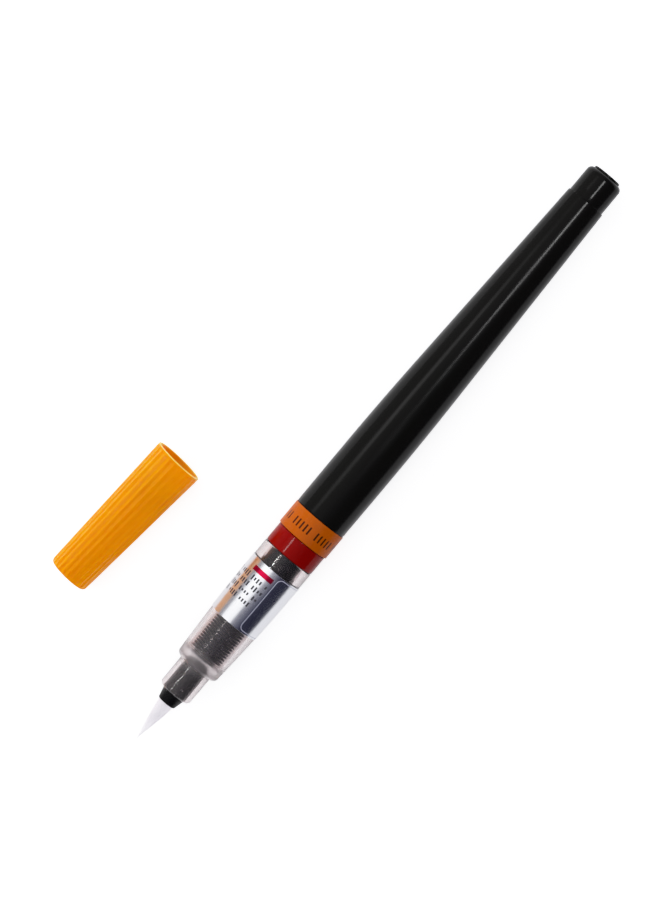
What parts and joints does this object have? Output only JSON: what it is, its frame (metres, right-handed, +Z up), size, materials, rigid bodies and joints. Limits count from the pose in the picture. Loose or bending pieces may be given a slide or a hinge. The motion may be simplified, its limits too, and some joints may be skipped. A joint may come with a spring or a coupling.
{
  "type": "brush pen",
  "caption": "Slim round brush pen with a pointed bristle tuft, clear finned feeder section, tapered squeeze barrel and a loose fluted cap beside it.",
  "frame": {"origin": "on the surface that the pen lies on, under the middle of the box round the pen and its cap", "axes": "+X along the pen from the brush point to the tail, +Y from the pen towards the cap beside it, +Z up"},
  "size_m": [0.1768, 0.0505, 0.0144],
  "materials": {
    "cap_plastic": "fluted, moulded",
    "liner_plastic": "moulded",
    "clear_plastic": "milky, moulded",
    "label_film": "mirror foil",
    "black_plastic": "moulded",
    "bristle": "drawn bristles",
    "fibre": "bundled fibre",
    "feeder_plastic": "moulded",
    "red_plastic": "moulded",
    "barrel_plastic": "polished, moulded",
    "band_film": "printed film",
    "seal_rubber": "moulded",
    "ball_steel": "polished"
  },
  "bodies": {
    "front_section": {"section_shell": "clear_plastic", "section_label": "label_film", "brush_holder": "black_plastic", "brush_tuft": "bristle", "tuft_base": "bristle", "feed_wick": "fibre", "feeder_comb": "feeder_plastic", "inlet_tube": "feeder_plastic"},
    "cap": {"cap_shell": "cap_plastic", "cap_inner_seal": "liner_plastic"},
    "stopper_ring": {"stopper_ring": "red_plastic"},
    "barrel": {"barrel_shell": "barrel_plastic", "colour_band": "band_film", "neck_connector": "black_plastic", "neck_plug": "seal_rubber", "tail_plug": "barrel_plastic"},
    "seal_ball": {"seal_ball": "ball_steel"}
  },
  "joints": [
    {"name": "cap_slide", "type": "slide", "parent": "front_section", "child": "cap", "axis": [0.9971, -0.0767, 0], "range_m": [0, 0.025]},
    {"name": "barrel_draw", "type": "slide", "parent": "front_section", "child": "stopper_ring", "axis": [1, 0, 0], "range_m": [0, 0.006]},
    {"name": "barrel_turn", "type": "hinge", "parent": "stopper_ring", "child": "barrel", "pos_m": [-0.01845, -0.01808, 0.0072], "axis": [1, 0, 0], "range_deg": [0, 1440.1]},
    {"name": "ball_push", "type": "slide", "parent": "barrel", "child": "seal_ball", "axis": [1, 0, 0], "range_m": [0, 0.005]}
  ],
  "couplings": [
    {"joint": "barrel_turn", "follows": "barrel_draw", "rad_per_m": 4188.8}
  ]
}
